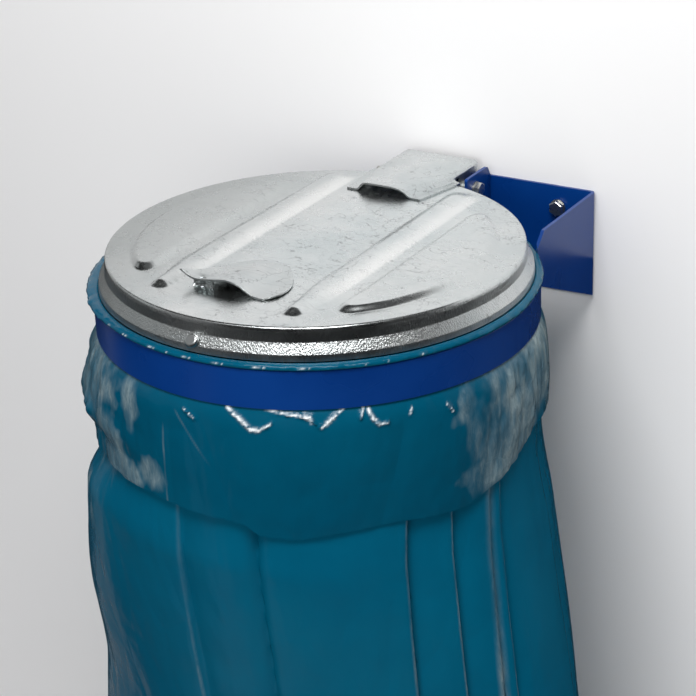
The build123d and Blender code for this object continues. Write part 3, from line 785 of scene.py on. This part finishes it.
def whitening_and_sheen_at(angle, height):
    """How pale the crumpled film is painted, its whitening with painted sheen, with uneven edges to the
    patches and two thin pale lines.
    """
    turn = radians(angle)
    spot = Vector((cos(turn) * 9, sin(turn) * 9, height / 30))
    uneven = 0.4 * noise.noise(spot * 1.6) + 0.2 * noise.noise(spot * 4)
    most = 0.0
    for middle, middle_height, half_angle, half_height, strength in WHITENING_AND_SHEEN_PATCHES:
        off = hypot(off_angle(angle, middle) / half_angle, (height - middle_height) / half_height)
        most = max(most, strength * ease(1.45, 0.40, off + uneven))
    seam = 0.3 * near(angle, -98.4, 0.35) * ease(-55, -75, height)
    slant = 0.22 * near(angle, -94 + (-50 - height) * 0.22, 0.45)
    slant *= ease(-44, -50, height) * ease(-100, -80, height)
    return min(1.0, max(most, seam, slant))


def glint_at(angle, height):
    """How white the creases under the band shine."""
    most = 0.0
    for half_width, line in GLINT_LINES:
        if abs(off_angle(angle, line[0][0])) < 14:
            broken = 0.62 + 1.1 * noise.noise(Vector((angle * 1.5, height / 1.8, half_width)))
            most = max(most, broken * exp(-(line_gap(angle, height, line) / (0.8 * half_width)) ** 2))
    return min(1.0, 1.3 * most)


def rough_zone(angle, height):
    """Where the film is crumpled hardest: at both sides under the band."""
    left = near(angle, -141, 17) * ease(-30, -48, height)
    right = near(angle, 2, 13) * ease(-30, -52, height)
    return min(1.0, left + right)


def roll_point(row, angle):
    """Film over the ring, where it is rolled loosely, its raised wrinkles painted pale with sheen, and
    its crest glints.
    """
    around = outward(angle)
    radius, height, loose = ROLL[row]
    swell = 1.1 * noise.noise(around * 3.1) + 4.0 * near(angle, -150, 34) - 0.4
    wrinkle = creased((around.x * 200, around.y * 200, height * 2), 13, 4) - 0.35
    wrinkle += 0.5 * (creased((around.x * 200, around.y * 200, height), 6, 8) - 0.4)
    radius += loose * (swell + 1.5 * wrinkle)
    height += loose * 0.6 * wrinkle
    shine = max(near(angle, middle, 0.55 * half) for middle, half in ROLL_GLINTS) * (row == ROLL_CREST)
    shine *= 0.6 + 0.9 * noise.noise(Vector((angle * 1.3, height * 1.1, 2)))
    return radius, height, 0.25 * loose * max(0, wrinkle), max(0.0, shine)


def cuff_point(row, angle):
    """Radius, height, whitening and sheen, and glint of the cuff, from the ring down to its edge."""
    if row < len(ROLL):
        return roll_point(row, angle)
    around = outward(angle)
    share = (row - len(ROLL) + 1) / CUFF_ROWS
    share = 0.62 * share + 0.38 * share ** 2.4
    edge = between(CUFF_EDGE, angle) + 0.6 * noise.noise(around * 22)
    height = BAND_FOOT + share * (edge - BAND_FOOT)
    fall = BAND_FOOT - height
    radius = (FILM_RADIUS + CUFF_BULGE * (1 - exp(-fall / 11)) + 1.6 * sin(pi * min(1, fall / 118))
              + ease(70, 108, fall))
    radius += near(angle, -144, 24) * between(CUFF_SWELL, fall)
    radius += 3 * near(angle, 10, 22) * sin(pi * min(1, fall / 110))
    free = ease(2, 34, fall)
    drift = share / FOLD_LEAN  # the cuff's folds drift all the way down to its edge
    radius -= free * 0.8 * gathered(angle, drift, CUFF_FOLDS)
    spot = (around.x * CUFF_RADIUS, around.y * CUFF_RADIUS, height * 0.55)
    rough = rough_zone(angle, height)
    crease = creased(spot, 34) - 0.5
    fine = creased(spot, 13, 2) - 0.5
    radius += free * (1.1 + 2.6 * rough) * crease + ease(1, 8, fall) * 2.2 * rough * fine
    radius += 1.6 * free * noise.noise(Vector(spot) / 60)
    for line in CREASE_LINES:
        if abs(off_angle(angle, line[0][0])) < 16 and fall < 26:
            gap = line_gap(angle, height, line)
            jag = 0.55 + 0.9 * noise.noise(Vector((angle * 1.1, height / 2.2, 6)))
            radius += 2.9 * max(0.0, jag) * exp(-(gap / 2.0) ** 2) * ease(0, 4, fall)
    return radius, height, whitening_and_sheen_at(angle, height), glint_at(angle, height) if fall < 30 else 0.0


FRONT_CROWDING = 26          # degrees by which points are drawn towards the front


def film_piece(name, rings, steps, shape, thickness, closed=False):
    """Tube whose points are moved to where the film hangs, closest together at the front."""
    tube = ring_stack(name, rings, steps)
    # painted light kept at each point: the pale whitening with painted sheen, and the painted white
    # glints
    haze = tube.data.attributes.new("haze", "FLOAT", "POINT")
    glint = tube.data.attributes.new("glint", "FLOAT", "POINT")
    for vertex in tube.data.vertices:
        row = vertex.index // steps
        angle = degrees(atan2(vertex.co.y - AXIS_Y * MM, vertex.co.x))
        angle -= FRONT_CROWDING * sin(radians(angle + 60))
        along_x, along_y, height, pale, shine = shape(row, angle)
        vertex.co = (along_x * MM, (AXIS_Y + along_y) * MM, height * MM)
        haze.data[vertex.index].value, glint.data[vertex.index].value = pale, shine
    if closed:
        picked(tube, lambda index: index >= (len(rings) - 1) * steps)
        bpy.ops.mesh.edge_face_add()
        bpy.ops.object.mode_set(mode="OBJECT")
    on_all_faces(tube, bpy.ops.mesh.normals_make_consistent, inside=False)
    modified(tube, "SOLIDIFY", thickness=thickness * MM, offset=-1)
    smoothed(tube, 60)
    return tube


def make_cuff():
    rings = [(radius, height) for radius, height, loose in ROLL]
    rings += [(CUFF_RADIUS, BAND_FOOT - CUFF_DROP * (row + 1) / CUFF_ROWS) for row in range(CUFF_ROWS)]

    def shape(row, angle):
        radius, height, pale, shine = cuff_point(row, angle)
        return radius * cos(radians(angle)), radius * sin(radians(angle)), height, pale, shine

    cuff = film_piece("bag_cuff", rings, CUFF_STEPS, shape, CUFF_FILM)
    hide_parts("bin_bag")
    return cuff


# Hanging bag: its half widths at each height come first
BAG_HALF_X = [(-905, 349), (-893, 345), (-800, 327), (-642, 297), (-431, 254), (-258, 219),
              (-190, 206.5), (-153, 202.6), (-120, 200.5), (-75, 197), (-40, 193.2), (10, 193.2)]
BAG_HALF_Y = [(-905, 1.2), (-893, 5), (-880, 14), (-800, 54), (-642, 110), (-431, 162), (-258, 190),
              (-190, 200), (-153, 201.6), (-120, 200.5), (-75, 197), (-40, 193.2), (10, 193.2)]
BAG_STEPS = 480
BAG_SWELLS = [  # how far the bag swells, angle, half angle, heights where it starts and where it ends
    (16, -140, 26, (-140, -185), (-420, -270)), (5, 22, 20, (-150, -220), (-480, -320)),
]
BAG_FOLDS = [  # angle at the band, angle at the foot, depth, width on the near side and the far side
    (-96, -97, 5.0, 0.4, 6), (-74, -80, 9.0, 2.4, 1.2), (-34.3, -48, 7.5, 0.35, 6.5),
    (-21.7, -35, 7.0, 0.35, 6.0), (-8.4, -25, 5.0, 0.4, 1.6), (-4.5, -20, 6.0, 0.4, 7),
    (17, 10, 6, 0.6, 8), (38, 30, 7, 0.6, 8), (60, 64, 6, 8, 0.6), (84, 88, 7, 0.6, 9),
    (108, 112, 6, 8, 0.6), (131, 124, 7, 0.6, 8), (155, 160, 6.5, 7, 0.6), (179, 176, 6, 0.6, 8),
    (-160, -164, 7, 0.6, 7), (-150, -148, 4, 4, 1.6),
]
FOLD_HIGHLIGHT_LINES = [  # painted highlights along the folds' edges: angle at the band, at the foot, width, strength
    (-8.9, -25.5, 1.5, 0.75), (-4.9, -20.4, 0.5, 0.7), (-35.0, -48.7, 0.4, 0.6),
    (-22.4, -35.7, 0.4, 0.6), (-96.8, -97.8, 0.35, 0.25),
]


def bag_heights():
    heights = [4, -2, -12, -24, -36, -48, -60, -75, -90, -105, -118]
    while heights[-1] > -890:
        heights.append(heights[-1] - (7.2 if heights[-1] > -330 else 10.5))
    return heights[:-1] + [-893, -899, -905]


def make_hanging_bag():
    heights = bag_heights()

    def shape(row, angle):
        height = heights[row]
        around = outward(angle)
        down = ease(-60, -170, height)
        under = ease(-128, -200, height)
        flat = ease(-300, -905, height)
        share = min(1, max(0, (-60 - height) / 845))
        half_x = between(BAG_HALF_X, height)
        half_y = between(BAG_HALF_Y, height)
        foot = ease(-905, -700, height)
        pull = gathered(angle, share, BAG_FOLDS) * down * (0.25 + 0.75 * foot)
        spot = (around.x * 210, around.y * 210, height * 0.4)
        out = 0.0
        for swell, middle, half_angle, start, end in BAG_SWELLS:
            out += swell * near(angle, middle, half_angle) * ease(*start, height) * ease(*end, height)
        out += under * foot * (1.2 * (creased(spot, 62, 3) - 0.5) + 3.4 * noise.noise(Vector(spot) / 120))
        out += under * foot * 0.5 * (creased(spot, 22, 9) - 0.5)
        grow = out + 2.2 * under - pull
        x = (half_x + grow * (1 - 0.5 * flat)) * cos(radians(angle))
        y = (half_y + grow * min(1, half_y / 90)) * sin(radians(angle))
        y += flat * foot * 9 * noise.noise(Vector((x / 130, height / 260, 7)))
        # painted highlights along the folds' edges, and the crumpled left side painted pale, its
        # whitening with painted sheen
        pale = 0.0
        for top, low, width, line_strength in FOLD_HIGHLIGHT_LINES:
            pale += line_strength * near(angle, drifted(top, low, share), width)
        pale *= down * ease(-640, -330, height)
        crumpled = near(angle, -139, 7) * ease(-250, -190, height)
        pale += down * 0.8 * crumpled * ease(0.35, 0.7, creased(spot, 26, 5))
        return x, y, height, min(1, pale), 0.0

    rings = [(between(BAG_HALF_X, height), height) for height in heights]
    bag = film_piece("bag_hanging", rings, BAG_STEPS, shape, BAG_FILM, closed=True)
    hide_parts("bin_bag")
    return bag


# painted light: the hanging bag's film is a lighter copy of the cuff's film, 1.45 against 1.06
cuff_and_bag = ((make_cuff(), teal_film("cuff_film", 1.06)),
                (make_hanging_bag(), teal_film("bag_film", 1.45)))
for bag_piece, film in cuff_and_bag:
    bag_piece.data.materials.append(film)
    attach(bag_piece, "holder")


# Finishes, and the body that each modelled piece rides on

def finished(nodes, material):
    for name in nodes:
        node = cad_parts[name]
        node.data.materials.clear()
        node.data.materials.append(material)


bolts = [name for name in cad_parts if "bolt" in name or "washer" in name or "nut" in name]
finished(bolts + ["hinge_spacer_left", "hinge_spacer_right"], plated_steel())
blue = blue_powder_coat()
finished(["outer_ring", "wall_bracket", "hinge_ear_left", "hinge_ear_right"], blue)
lid = make_lid()
lid.data.materials.append(galvanised_sheet("lid_sheet", brim_grain=1.0))
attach(lid, "lid")
finished(["inner_ring"], galvanised_sheet("ring_sheet", 0.9, 0.35))
strap_metal = galvanised_sheet("pressed_sheet", 0.92, 0.28, 0.0002)
finished(["front_rivet"], strap_metal)
for pressed in (make_grip(), make_grip_foot(), make_strap()):
    pressed.data.materials.append(strap_metal)
    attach(pressed, "lid")
